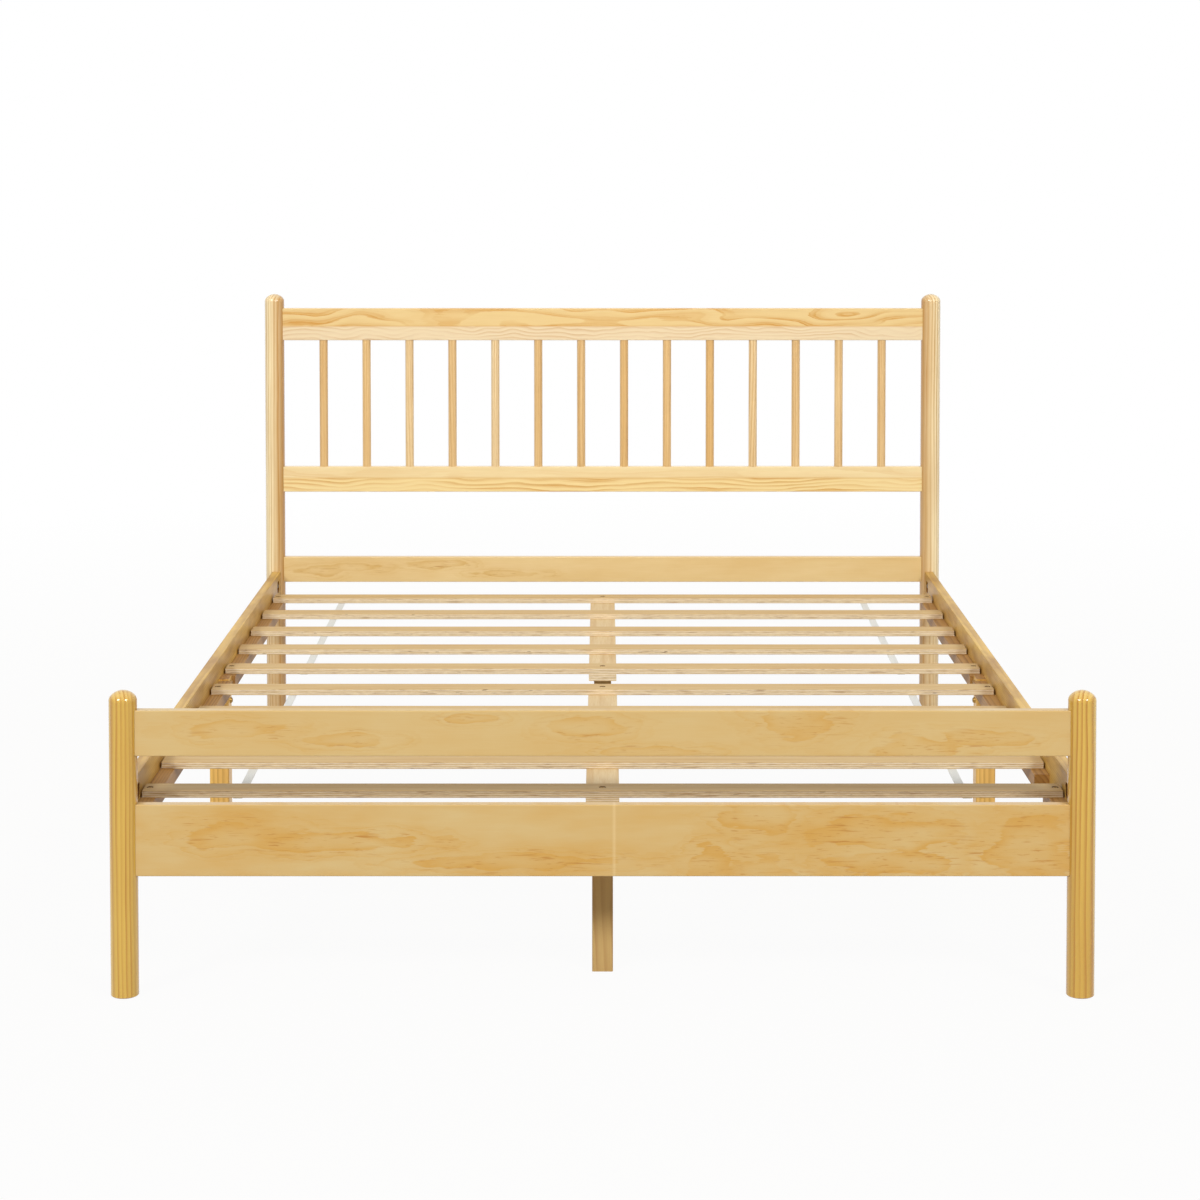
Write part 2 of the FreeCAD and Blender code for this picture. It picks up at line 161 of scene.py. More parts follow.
# A flat-sawn rail: the property of its ground colour, how strong its arches and its haze are, the
# X of a joint in its length, and its arches in millimetres from its middle.  An arch is its place
# along X and Z, then its half length and half height.
FlatWood = namedtuple("FlatWood", "ground amount haziness seam arches")
FLAT_WOOD = {
    "foot_top_rail": FlatWood("flat_pale", amount=0.7, haziness=0.35, seam=None, arches=(
        (-600, 8, 85, 16), (-412, -12, 70, 12), (-210, 24, 45, 10), (-21, 10, 60, 20),
        (77, -30, 80, 10), (313, 26, 60, 34), (509, -26, 75, 24), (622, -6, 80, 14))),
    "foot_base_rail": FlatWood("flat_pale", amount=0.95, haziness=0.75, seam=0.019, arches=(
        (-592, 9, 100, 22), (-445, -3, 140, 17), (-135, -35, 150, 14), (172, -72, 42, 60),
        (257, 41, 60, 35), (257, -64, 60, 40), (460, 9, 125, 34), (469, -35, 100, 22),
        (697, -16, 75, 62))),
    "head_base_rail": FlatWood("head_base_pale", amount=0.6, haziness=0.3, seam=None, arches=(
        (-681, -1, 60, 14), (-593, 6, 70, 10), (-400, 12, 70, 10), (-234, -10, 80, 8))),
}

# Counterbores in the slats: the reach of the end screws, the first slat's Y and the slats' pitch
Counterbores = namedtuple("Counterbores", "reach first pitch")

# Shares of a strap node's thickness: how deep the woven sheet lies, and how thick it is
STRAP_DEPTH = 0.92
STRAP_FILL = 0.8

# A staple's crown in thicknesses of its wire: width, height, drop under the strap and rounding
STAPLE_WIDTH, STAPLE_HEIGHT, STAPLE_DROP, STAPLE_ROUNDING = 1.3, 0.7, 0.3, 0.2

# A slat screw: its head's seat under the slat's top, its sides, its domed rim and its recess
SCREW_SEAT = 3.0 * MM
SCREW_SIDES = 2.0 * MM
SCREW_RIM, SCREW_RIM_RISE = 0.7 * MM, 0.3 * MM
RECESS_TAPER, RECESS_DEPTH = 1.1 * MM, 1.2 * MM

# A leg bolt: its button head's outline in shares of its half width and its height, the share of
# the height where its socket ends, and its shank with a chamfered end
BUTTON = ((0.5, 1.0), (0.8, 0.82), (0.95, 0.5), (1.0, 0.0))
SOCKET_FLOOR = 0.45
SHANK_HALF, SHANK_CHAMFER = 3 * MM, 0.5 * MM
SMOOTH_BELOW = math.radians(40)

# Soft lamps: place, aim, width and height in metres, power in watts and beam in degrees
Lamp = namedtuple("Lamp", "name place aim size power beam")
LAMPS = (
    Lamp("Left", (-6.2, -9.0, 7.6), (0.0, -0.2, 0.3), size=(2.8, 2.6), power=755, beam=180),
    Lamp("Right", (6.2, -9.0, 7.6), (0.0, -0.2, 0.3), size=(2.8, 2.6), power=685, beam=180),
    Lamp("Head", (0.0, -1.4, 2.0), (0.0, 1.04, 0.80), size=(1.9, 0.5), power=3, beam=80),
)
FLOOR_SIZE = 30.0
FLOOR_FADE = (8, 8, 8)  # reach in metres of the faint shadow under the bed

# The camera that fits the edges of the photo
CAMERA_PLACE = (0.00035, -5.45939, 1.44237)
CAMERA_TILT = math.radians(90 - 2.60)
CAMERA_LENS, CAMERA_SENSOR = 81.92, 36.0
CAMERA_SHIFT = (-0.0023, -0.3015)
CAMERA_CLIP = (0.1, 100.0)


def linear(code):
    """Linear colour of an sRGB hex value."""
    parts = [int(code[i:i + 2], 16) / 255 for i in (1, 3, 5)]
    return tuple(p / 12.92 if p <= 0.04045 else ((p + 0.055) / 1.055) ** 2.4 for p in parts)


def colour(name, description, code):
    return FloatVectorProperty(name=name, description=description, subtype="COLOR", size=3,
                               min=0.0, max=1.0, default=linear(code))


def length(name, description, millimetres):
    return FloatProperty(name=name, description=description, unit="LENGTH", subtype="DISTANCE",
                         min=0.0, default=millimetres * MM)


# ---------------------------------------------------------------- what a user would change
class BedColours(bpy.types.PropertyGroup):
    # A post's late wood is also painted as shade on one side of the post, and the early wood of
    # the head posts is also painted as light on the dome of every post
    post_early: colour("Post early wood", "Pale wood of the head posts", "#fff1c4")
    post_late: colour("Post late wood", "Darker growth lines of the head posts", "#b9863c")
    foot_post_early: colour("Foot post early wood", "Pale wood of the foot posts", "#d9b44e")
    foot_post_late: colour("Foot post late wood", "Darker growth lines of the foot posts",
                           "#b5802a")
    spindle_pale: colour("Pale spindle", "Palest of the spindles", "#edd6a8")
    spindle_deep: colour("Deep spindle", "Most golden of the spindles", "#dcb06a")
    strip_upper: colour("Top rail upper strip", "Golden upper strip of the top rail", "#e1c58a")
    strip_lower: colour("Top rail lower strip", "Paler lower strip of the top rail", "#e4d1ac")
    strip_late: colour("Strip late wood", "Figure and glue line of the glued rails", "#c78a26")
    strip_line: colour("Fine line", "Fine growth lines of the paler strip", "#bf8b55")
    strip_pale: colour("Spindle rail upper strip", "Plain strip of the spindle rail", "#ebd6a4")
    strip_warm: colour("Spindle rail lower strip", "Streaked strip of the spindle rail",
                       "#edd69c")
    flat_pale: colour("Flat-sawn pale", "Ground colour of the flat-sawn rails", "#cfb47c")
    head_base_pale: colour("Head base rail", "Ground colour of the headboard's lowest rail",
                           "#e1c690")
    flat_deep: colour("Flat-sawn deep", "Clouds and arches of the flat-sawn rails", "#c99a48")
    flat_fleck: colour("Fleck", "Short ragged flecks of the flat-sawn rails", "#b47c32")
    side_pale: colour("Side rail pale", "Ground colour of the side rails", "#e2ba60")
    side_deep: colour("Side rail deep", "Grain of the side rails", "#9a6c30")
    # Painted shade on the walls of the routed nut pockets
    painted_pocket_shade: colour("Scorch", "Burnt walls of the routed nut pockets", "#5a2416")
    batten_pale: colour("Batten pale", "Ground colour of the ledgers", "#b98c4c")
    batten_deep: colour("Batten deep", "Grain of the ledgers", "#7d5026")
    mid_leg_pale: colour("Mid leg pale", "Ground colour of the legs at mid length", "#f4c66c")
    mid_leg_deep: colour("Mid leg deep", "Grain of the legs at mid length", "#a8702c")
    centre_leg_pale: colour("Centre leg pale", "Ground colour of the centre legs", "#c6a76c")
    centre_leg_deep: colour("Centre leg deep", "Grain of the centre legs", "#96602f")
    veneer: colour("Veneer", "Face veneer of the plywood", "#ccb07e")
    board_veneer: colour("Board veneer", "Face veneer of the centre boards", "#d8c197")
    veneer_vein: colour("Veneer vein", "Grain of the face veneer", "#b98e55")
    ply_long: colour("Long ply", "Plies whose grain runs along the slat", "#f3e7cb")
    ply_cross: colour("Cross ply", "Plies that show their end grain", "#dfc698")
    glue_line: colour("Glue line", "Glue between the plies", "#8a5a2c")
    # Dark voids of the plywood, and painted shade in the counterbores of the slats
    void_and_painted_bore_shade: colour("Knot", "Voids and counterbores in the plywood", "#5a371b")
    webbing: colour("Webbing", "Polypropylene yarn of the straps", "#e4e4df")
    webbing_shade: colour("Webbing shade", "Hollows of the weave", "#a9a9a2")
    webbing_fuzz: colour("Webbing fuzz", "Stray fibres of the straps", "#f4f4f0")
    steel: colour("Steel", "Zinc-plated steel", "#b9b8b3")
    steel_bright: colour("Bright steel", "Paler mottling of the zinc", "#d8d6cf")
    # Dark brown steel of the slat screws and the leg bolts, darker than plain zinc
    dark_brown_steel: colour("Passivated steel", "Yellow-passivated screws and bolts", "#8d6a35")
    dark_brown_steel_bright: colour("Bright passivated steel", "Paler mottling of the yellow coat",
                              "#b08d50")
    floor_deep: colour("Deep floor", "Darker grit of the floor, where it catches light", "#b8b1a6")
    floor_pale: colour("Pale floor", "Paler grit of the floor", "#bbb4aa")


class BedSizes(bpy.types.PropertyGroup):
    ring_spacing: length("Ring spacing", "Distance between growth rings in the pine", 6.0)
    webbing_width: length("Webbing width", "Width of a strap", 15.0)
    webbing_rib: length("Webbing rib", "Distance between the ribs of the webbing", 1.6)
    webbing_sag: length("Webbing sag", "How far a strap hangs between two slats", 1.5)
    staple_wire: length("Staple wire", "Thickness of a staple", 0.9)
    staple_crown: length("Staple crown", "Length of a staple's crown", 10.0)
    screw_head: length("Screw head", "Diameter of a slat screw's head", 8.0)
    screw_recess: length("Screw recess", "Width of the cross recess in a slat screw", 4.4)
    bolt_head: length("Bolt head", "Diameter of a leg bolt's button head", 12.0)
    bolt_head_height: length("Bolt head height", "Height of a leg bolt's button head", 5.0)
    bolt_socket: length("Bolt socket", "Width across the flats of a leg bolt's socket", 4.0)


def colours():
    return bpy.context.scene.bed_colours


def sizes():
    return bpy.context.scene.bed_sizes


# ---------------------------------------------------------------- materials
def add(tree, kind, *values, named=None, output=None, stops=(), **settings):
    """Adds a shader node and returns one of its outputs, the first in use unless one is named.

    Values fill the inputs in order, as the node shows them in the mode that its settings choose;
    named ones fill inputs by name.  Stops are the places and tones of a colour ramp.
    """
    made = tree.nodes.new("ShaderNode" + kind)
    for name, value in settings.items():
        setattr(made, name, value)
    for number, (place, tone) in enumerate(stops):
        elements = made.color_ramp.elements
        element = elements[number] if number < 2 else elements.new(place)
        element.position = place
        element.color = (tone, tone, tone, 1.0) if isinstance(tone, float) else (*tone, 1.0)
    shown = [socket for socket in made.inputs if socket.enabled]
    filled = list(zip(shown, values))
    filled += [(made.inputs[name], value) for name, value in (named or {}).items()]
    for socket, value in filled:
        if isinstance(value, bpy.types.NodeSocket):
            tree.links.new(value, socket)
        elif socket.type == "RGBA":
            socket.default_value = (*value, 1.0)
        else:
            socket.default_value = value
    return made.outputs[output] if output else next((o for o in made.outputs if o.enabled), None)


def begin(name):
    """New material, and the function that adds nodes to it."""
    made = bpy.data.materials.new(name)
    made.use_nodes = True
    made.node_tree.nodes.clear()
    return made, partial(add, made.node_tree)


def pattern(node, middle, size):
    """Object coordinates round a middle, in steps of a size in metres on each axis."""
    return node("Mapping", node("TexCoord", output="Object"), vector_type="TEXTURE",
                named={"Location": middle, "Scale": size})


def sizes_along(grain, size):
    """Size on each axis of what is long on the axis of the grain."""
    along, across = size
    return [along if axis == grain else across for axis in "xyz"]


def patches(node, where, stops, detail=2.0, roughness=0.5):
    """Uneven patches as big as the steps of their coordinates, with a ramp for their strength."""
    noise = node("TexNoise", where, 1.0, detail, roughness)
    return node("ValToRGB", noise, stops=stops)


def fibred(node, middle, size, base, tone, stops):
    """Noise of fine fibres, and a base that they tint."""
    fibres = node("TexNoise", pattern(node, middle, size), 1.0, 3.0, 0.6)
    faint = node("ValToRGB", fibres, stops=stops)
    return fibres, node("Mix", faint, base, tone, data_type="RGBA")


def upward(node):
    """Height of the surface's normal: 1 on a face that looks up, and -1 on one that looks down."""
    return node("SeparateXYZ", node("TexCoord", output="Normal"), output="Z")


def level_faces(node):
    """1 on faces that look up or down, and 0 on upright ones."""
    return node("Math", node("Math", upward(node), operation="ABSOLUTE"), LEVEL_NORMAL,
                operation="GREATER_THAN")


def finish(node, base, roughness, height, depth, extra):
    """Principled surface with a bump whose depth is in metres, and extra values by socket."""
    bump = node("Bump", named={"Strength": 1.0, "Distance": depth, "Height": height})
    named = {"Base Color": base, "Roughness": roughness, "Normal": bump, **extra}
    node("OutputMaterial", node("BsdfPrincipled", named=named))


def silky(node, base, fibres, height, roughness, coat):
    """Lacquered or planed wood: fibres pull the gloss up and down, and lie in fine relief."""
    gloss = node("ValToRGB", fibres, stops=((0.2, roughness + 0.06), (0.8, roughness - 0.05)))
    finish(node, base, gloss, height, WOOD_RELIEF,
           {"Coat Weight": coat, "Coat Roughness": 0.10, "Specular IOR Level": 0.3})


def solid_pine(name, early, late, grain, pith, spacing, contrast, waviness, roughness, coat,
               shade=None, cloudiness=0.35):
    """Pine with growth rings round a pith that runs along the grain.

    Sawn or turned, then lacquered: lines along the piece in uneven widths and strengths, with
    a silky gloss and fine fibres.  A shade changes the early wood from place to place.
    """
    made, node = begin(name)

    def along(size):
        return pattern(node, pith, sizes_along(grain, size))

    radial = node("VectorMath", along((ENDLESS, spacing)), operation="LENGTH")
    sway = node("TexNoise", along(RING_SWAY), 1.0, 2.0)
    fray = node("TexNoise", along(RING_FRAY), 1.0, 3.0)
    turns = node("Math", sway, SWAY_IN_RINGS * waviness, radial, operation="MULTIPLY_ADD")
    turns = node("Math", fray, FRAY_IN_RINGS, turns, operation="MULTIPLY_ADD")
    rings = node("ValToRGB", node("Math", turns, operation="FRACT"), stops=RING)
    vigour = patches(node, along(RING_VIGOUR), ((0.3, 0.3 * contrast), (0.65, contrast)), 1.0)
    rings = node("Math", rings, vigour, operation="MULTIPLY", use_clamp=True)
    if shade:
        early = shade(node, early)
    base = node("Mix", rings, early, late, data_type="RGBA")
    fibres, base = fibred(node, pith, sizes_along(grain, RING_FIBRES), base, late,
                          ((0.3, 0.16), (0.7, 0.0)))
    cloud = patches(node, along(PINE_CLOUDS), ((0.35, 0.0), (0.75, cloudiness)))
    base = node("Mix", cloud, base, late, data_type="RGBA")
    height = node("Math", fibres, rings, operation="ADD")
    silky(node, base, fibres, height, roughness, coat)
    return made


def stain_and_painted_pocket_shade(low, high, late):
    """Shade for a side rail: brown clouds of stain, and painted shade on the walls of its routed
    holes.
    """
    def shade(node, early):
        stain = patches(node, pattern(node, low, RAIL_STAIN), ((0.40, 0.0), (0.66, 0.7)),
                        4.0, 0.55)
        early = node("Mix", stain, early, late, data_type="RGBA")
        inside = 1.0
        half = (high - low) / 2
        seen = pattern(node, (low + high) / 2, METRE)
        for axis, within in (("X", half.x - POCKET_SKIN), ("Z", half.z - POCKET_LIP)):
            away = node("Math", node("SeparateXYZ", seen, output=axis), operation="ABSOLUTE")
            inside = node("Math", node("Math", away, within, operation="LESS_THAN"), inside,
                          operation="MULTIPLY")
        # Painted shade on the walls inside the routed nut pockets
        return node("Mix", inside, early, colours().painted_pocket_shade, data_type="RGBA")
    return shade


def end_grain(node, early):
    """Shade for a sawn leg: its cut end drinks the lacquer and turns dark brown."""
    pores = patches(node, pattern(node, ORIGIN, PORES), ((0.35, 0.6), (0.6, 1.0)))
    cut = node("Math", level_faces(node), pores, operation="MULTIPLY")
    return node("Mix", cut, early, colours().glue_line, data_type="RGBA")


def painted_post_shade_and_tone(middle, side, radius, amount, late):
    """Turned post: painted shade on one side, darker near the floor, and painted light on its
    dome.
    """
    def shade(node, early):
        # Painted shade across the post, deepest on one side
        across = node("SeparateXYZ", pattern(node, middle, (side * radius, 1, 1)), output="X")
        share = node("ValToRGB", node("MapRange", across, -0.8, 1.0),
                     stops=((0.1, 0.0), (0.5, 0.45 * amount), (1.0, amount)))
        height = node("SeparateXYZ", pattern(node, ORIGIN, METRE), output="Z")
        near_floor = node("ValToRGB", height, stops=((0.10, 0.5 * amount), (0.42, 0.0)))
        share = node("Math", share, near_floor, operation="MAXIMUM")
        turned = node("Mix", share, early, late, data_type="RGBA")
        # Painted light on the top of the dome, in the pale early wood of the head posts
        dome = node("ValToRGB", upward(node), stops=((0.35, 0.0), (0.9, 0.15 + 0.1 * amount)))
        return node("Mix", dome, turned, colours().post_early, data_type="RGBA")
    return shade


def flat_pine(name, node_name, ground, wood):
    """Flat-sawn pine board: golden clouds and pointed arches with ragged rims and flecks.

    Each arch is where the cut runs flat through a growth layer.  Planed and lacquered satin.
    """
    made, node = begin(name)
    tones = colours()
    low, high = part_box(node_name)
    middle = (low + high) / 2
    dash = node("TexNoise", pattern(node, middle, SHORT_DASHES), 1.0, 2.0, 0.6)
    long_dash = node("TexNoise", pattern(node, middle, LONG_DASHES), 1.0, 2.0, 0.6)
    warp = node("TexNoise", pattern(node, middle, RIM_WARP), 1.0, 2.0, 0.5)
    rim = PAST_ARCHES
    for x, z, long, tall in wood.arches:
        spot = middle + Vector((x, 0, z)) * MM
        away = node("VectorMath", pattern(node, spot, (long * MM, ENDLESS, tall * MM)),
                    operation="LENGTH")
        rim = node("Math", away, rim, operation="MINIMUM")
    for noise, push in zip((warp, dash, long_dash), RIM_PUSHES):
        rim = node("Math", noise, push, rim, operation="MULTIPLY_ADD")
    rim = node("MapRange", rim, *RIM_REACH)
    mottle = patches(node, pattern(node, middle, ARCH_MOTTLE),
                     ((0.34, 0.3 * wood.amount), (0.56, wood.amount)))
    figure = node("Math", node("ValToRGB", rim, stops=ARCH_BANDS), mottle, operation="MULTIPLY",
                  use_clamp=True)
    flecks = node("Math", node("ValToRGB", dash, stops=((0.60, 0.0), (0.70, 0.9))),
                  node("ValToRGB", long_dash, stops=((0.61, 0.0), (0.69, 0.9))),
                  operation="MAXIMUM")
    for share in (node("ValToRGB", rim, stops=((0.50, 1.0), (0.95, 0.0))), mottle):
        flecks = node("Math", flecks, share, operation="MULTIPLY")
    haze = patches(node, pattern(node, middle, FLAT_HAZE), ((0.34, 0.0), (0.70, wood.haziness)),
                   3.0, 0.55)
    base = ground
    for share, tone in ((haze, tones.flat_deep), (figure, tones.flat_deep),
                        (flecks, tones.flat_fleck)):
        base = node("Mix", share, base, tone, data_type="RGBA")
    fibres, base = fibred(node, middle, sizes_along("x", FLAT_FIBRES), base, tones.flat_deep,
                          ((0.3, 0.14), (0.65, 0.0)))
    if wood.seam is not None:
        away = node("SeparateXYZ", pattern(node, (wood.seam, 0, 0), METRE), output="X")
        line = node("ValToRGB", node("Math", away, operation="ABSOLUTE"),
                    stops=((0.0, 0.30), (SEAM_HALF, 0.0)))
        base = node("Mix", line, base, tones.strip_pale, data_type="RGBA")
    silky(node, base, fibres, fibres, 0.36, 0.35)
    return made


def streaks(node, middle, figure):
    """Growth layers that run along X in waves, drawn with a profile across each layer."""
    bend = node("TexNoise", pattern(node, middle, (figure.along, *LAYER_BEND_ACROSS)),
                1.0, 2.0, 0.45)
    fray = node("TexNoise", pattern(node, middle, LAYER_FRAY), 1.0, 3.0, 0.6)
    turns = node("SeparateXYZ", pattern(node, middle, (figure.spacing,) * 3), output="Z")
    for noise, push in ((bend, figure.wave), (fray, 0.25)):
        turns = node("Math", noise, push, turns, operation="MULTIPLY_ADD")
    layer = node("ValToRGB", node("Math", turns, operation="FRACT"), stops=figure.profile)
    fine = node("Math", turns, FINE_LINES, operation="MULTIPLY")
    fine = node("ValToRGB", node("Math", fine, operation="FRACT"),
                stops=((0.0, 0.6), (0.3, 0.55), (0.9, 1.0)))
    return node("Math", layer, fine, operation="MULTIPLY")


def glued_pine(name, node_name, split, upper, lower):
    """Rail of two pine strips glued edge to edge, each with a figure of its own.

    Planed and lacquered: a faint line at the glue and a soft satin shine.  The split is the
    height of the glue as a share of the rail's.
    """
    made, node = begin(name)
    low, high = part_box(node_name)
    middle = (low + high) / 2
    strips = []
    for strip in (lower, upper):
        vigour = patches(node, pattern(node, middle, LAYER_VIGOUR),
                         ((0.36, 0.15 * strip.strength), (0.62, strip.strength)), 1.0)
        shown = node("Math", streaks(node, middle, strip.figure), vigour, operation="MULTIPLY")
        strips.append(node("Mix", shown, strip.ground, strip.deep, data_type="RGBA"))
    glue_height = low.z + (high.z - low.z) * split
    height = node("SeparateXYZ", pattern(node, (0, 0, glue_height), METRE), output="Z")
    above = node("Math", height, 0.0, operation="GREATER_THAN")
    base = node("Mix", above, *strips, data_type="RGBA")
    deep = colours().strip_late
    glue = node("ValToRGB", node("Math", height, operation="ABSOLUTE"),
                stops=((0.0, 0.30), (GLUE_HALF, 0.0)))
    base = node("Mix", glue, base, deep, data_type="RGBA")
    fibres, base = fibred(node, middle, sizes_along("x", GLUED_FIBRES), base, deep,
                          ((0.3, 0.12), (0.65, 0.0)))
    silky(node, base, fibres, fibres, 0.34, 0.45)
    return made


def plywood(name, node_name, veneer, grain, plies, counterbores=None):
    """Plywood, sanded: quiet veneer on the faces, and edges striped by the plies.

    Plies alternate between long grain and end grain, with thin brown glue lines and a few dark
    voids.
    """
    made, node = begin(name)
    tones = colours()
    low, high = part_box(node_name)
    ply = (high.z - low.z) / plies
    height = node("SeparateXYZ", pattern(node, low, (1, 1, ply)), output="Z")
    uneven = node("TexNoise", pattern(node, low, PLY_SWAY), 1.0)
    layer = node("Math", uneven, 0.8, height, operation="MULTIPLY_ADD")
    cross = node("ValToRGB", node("Math", layer, 1.0, operation="PINGPONG"),
                 stops=((0.35, 0.0), (0.65, 1.0)))
    glue = node("Math", node("Math", layer, 0.5, operation="ADD"), 0.5, operation="PINGPONG")
    glue = node("ValToRGB", glue, stops=((0.0, 0.75), (0.2, 0.0)))
    stroke = patches(node, pattern(node, low, PLY_STROKES), ((0.55, 0.0), (0.67, 0.5)), 2.0, 0.6)
    speckle = patches(node, pattern(node, low, PLY_GRIT), ((0.35, 0.22), (0.6, 0.0)), 3.0, 0.6)
    void = node("TexNoise", pattern(node, low, PLY_VOIDS), 1.0, 1.0)
    seldom = node("TexNoise", pattern(node, low, PLY_VOID_RUNS), 1.0, 1.0)
    void = node("Math", seldom, 0.35, void, operation="MULTIPLY_ADD")
    void = node("ValToRGB", void, stops=((0.94, 0.0), (0.98, 0.7)))
    edge = tones.ply_long
    for share, tone in ((cross, tones.ply_cross), (glue, tones.glue_line),
                        (stroke, tones.glue_line), (speckle, tones.glue_line),
                        (void, tones.void_and_painted_bore_shade)):
        edge = node("Mix", share, edge, tone, data_type="RGBA")

    vein = patches(node, pattern(node, low, sizes_along(grain, VENEER_VEINS)),
                   ((0.42, 0.0), (0.70, 0.5)), 3.0, 0.55)
    face = node("Mix", vein, veneer, tones.veneer_vein, data_type="RGBA")
    fibres, face = fibred(node, low, sizes_along(grain, VENEER_FIBRES), face, tones.veneer_vein,
                          ((0.3, 0.3), (0.6, 0.0)))
    base = node("Mix", level_faces(node), edge, face, data_type="RGBA")
    # Painted shade on the walls and floor of the counterbores
    if counterbores:
        base = node("Mix", in_counterbores(node, counterbores, low, high), base, tones.void_and_painted_bore_shade,
                    data_type="RGBA")
    gloss = node("ValToRGB", fibres, stops=((0.2, 0.62), (0.8, 0.5)))
    relief = node("Math", glue, -0.8, fibres, operation="MULTIPLY_ADD")
    finish(node, base, gloss, relief, PLY_RELIEF, {"Specular IOR Level": 0.25})
    return made


def in_counterbores(node, holes, low, high):
    """1 inside the counterbores of the slats, between a slat's lowest and highest corners."""
    seen = pattern(node, (0, holes.first, low.z), (1, holes.pitch, 1))
    across, along, up = (node("SeparateXYZ", seen, output=axis) for axis in "XYZ")
    across = node("Math", across, operation="ABSOLUTE")
    end = node("Math", node("Math", across, holes.reach, operation="SUBTRACT"),
               operation="ABSOLUTE")
    across = node("Math", across, end, operation="MINIMUM")
    along = node("Math", along, node("Math", along, operation="ROUND"), operation="SUBTRACT")
    along = node("Math", node("Math", along, operation="ABSOLUTE"), holes.pitch,
                 operation="MULTIPLY")
    near = node("Math", node("Math", across, along, operation="MAXIMUM"), COUNTERBORE_HALF,
                operation="LESS_THAN")
    half = (high.z - low.z) / 2
    within = node("Math", up, half, half - VENEER_SKIN, operation="COMPARE")
    return node("Math", near, within, operation="MULTIPLY")


def webbing():
    """Woven polypropylene webbing: a small matt basket weave with a slight fuzz."""
    made, node = begin("Woven_polypropylene_webbing")
    tones = colours()
    seen = pattern(node, ORIGIN, (sizes().webbing_rib,) * 3)
    ribs = [node("TexWave", seen, WAVE_PER_STEP, 0.4, output="Fac", bands_direction=axis)
            for axis in "XY"]
    weave = node("Math", *ribs, operation="MULTIPLY")
    # Painted shade in the hollows of the weave
    hollow = node("ValToRGB", weave, stops=((0.0, 0.5), (0.6, 0.0)))
    base = node("Mix", hollow, tones.webbing, tones.webbing_shade, data_type="RGBA")
    stray = patches(node, pattern(node, ORIGIN, STRAY_YARN), ((0.4, 0.0), (0.8, 0.2)))
    base = node("Mix", stray, base, tones.webbing_fuzz, data_type="RGBA")
    finish(node, base, 0.7, weave, WEAVE_RELIEF, {"Sheen Weight": 0.15})
    return made


def plated_steel(name, tone, bright):
    """Zinc-plated steel, plain or dark brown: a thin bright coat, slightly mottled.

    It is made once, and found by its name after that.
    """
    if name in bpy.data.materials:
        return bpy.data.materials[name]
    made, node = begin(name)
    mottle = node("TexNoise", pattern(node, ORIGIN, ZINC_MOTTLE), 1.0, 3.0)
    base = node("Mix", mottle, tone, bright, data_type="RGBA")
    gloss = node("ValToRGB", mottle, stops=((0.3, 0.28), (0.7, 0.42)))
    finish(node, base, gloss, mottle, ZINC_RELIEF, {"Metallic": 1.0})
    return made


def zinc():
    tones = colours()
    return plated_steel("Zinc_plated_steel", tones.steel, tones.steel_bright)


def dark_brown_zinc():
    tones = colours()
    return plated_steel("Yellow_passivated_steel", tones.dark_brown_steel, tones.dark_brown_steel_bright)


def dress(names, made):
    """Gives CAD nodes a material in each of their slots."""
    for name in names:
        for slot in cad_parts[name].material_slots:
            slot.material = made


def place_of(name):
    """Middle of a CAD node."""
    low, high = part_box(name)
    return (low + high) / 2


def screw_reach():
    """How far from the middle the end screws of a slat stand: over the middle of a ledger."""
    return place_of("ledger_right_front").x


def slats_over(low, high):
    """Slats that a strap with this box runs under, from the head."""
    return [name for name in SLATS if low.y < place_of(name).y < high.y]


def seen_white(node):
    """1 for the rays that see the backdrop itself: the camera's and those off gloss and glass."""
    rays = [node("LightPath", output="Is %s Ray" % kind)
            for kind in ("Camera", "Glossy", "Transmission")]
    return node("Math", node("Math", *rays[:2], operation="MAXIMUM"), rays[2],
                operation="MAXIMUM")


# ---------------------------------------------------------------- making pieces
def new_piece(name, mesh_tool, material):
    """Object from a bmesh, at the origin with its place in its mesh, riding on the bed."""
    bmesh.ops.recalc_face_normals(mesh_tool, faces=mesh_tool.faces)
    mesh = bpy.data.meshes.new(name)
    mesh_tool.to_mesh(mesh)
    mesh_tool.free()
    mesh.materials.append(material)
    piece = bpy.data.objects.new(name, mesh)
    bpy.context.scene.collection.objects.link(piece)
    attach(piece, BODY)
    return piece


# ---------------------------------------------------------------- operators
class BED_OT_posts(bpy.types.Operator):
    """Turned pine of the four posts"""
    bl_idname = "bed.posts"
    bl_label = "Posts"

    def execute(self, context):
        tones = colours()
        low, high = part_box("head_post_left")
        radius = (high.x - low.x) / 2
        for name, wood in POST_WOOD.items():
            early, late = tones.post_early, tones.post_late
            if name.startswith("foot"):
                early, late = tones.foot_post_early, tones.foot_post_late
            middle = place_of(name)
            pith = (middle.x + wood.aside[0], middle.y + wood.aside[1], 0.0)
            # Each post takes a painted shade on one side and painted light on its dome
            dress([name], solid_pine(
                "Lacquered_turned_pine_" + name, early, late, "z", pith,
                spacing=sizes().ring_spacing * wood.spread, contrast=wood.contrast,
                waviness=0.6, roughness=0.24, coat=0.75,
                shade=painted_post_shade_and_tone(middle, wood.side, radius, wood.heart, late)))
        return {"FINISHED"}


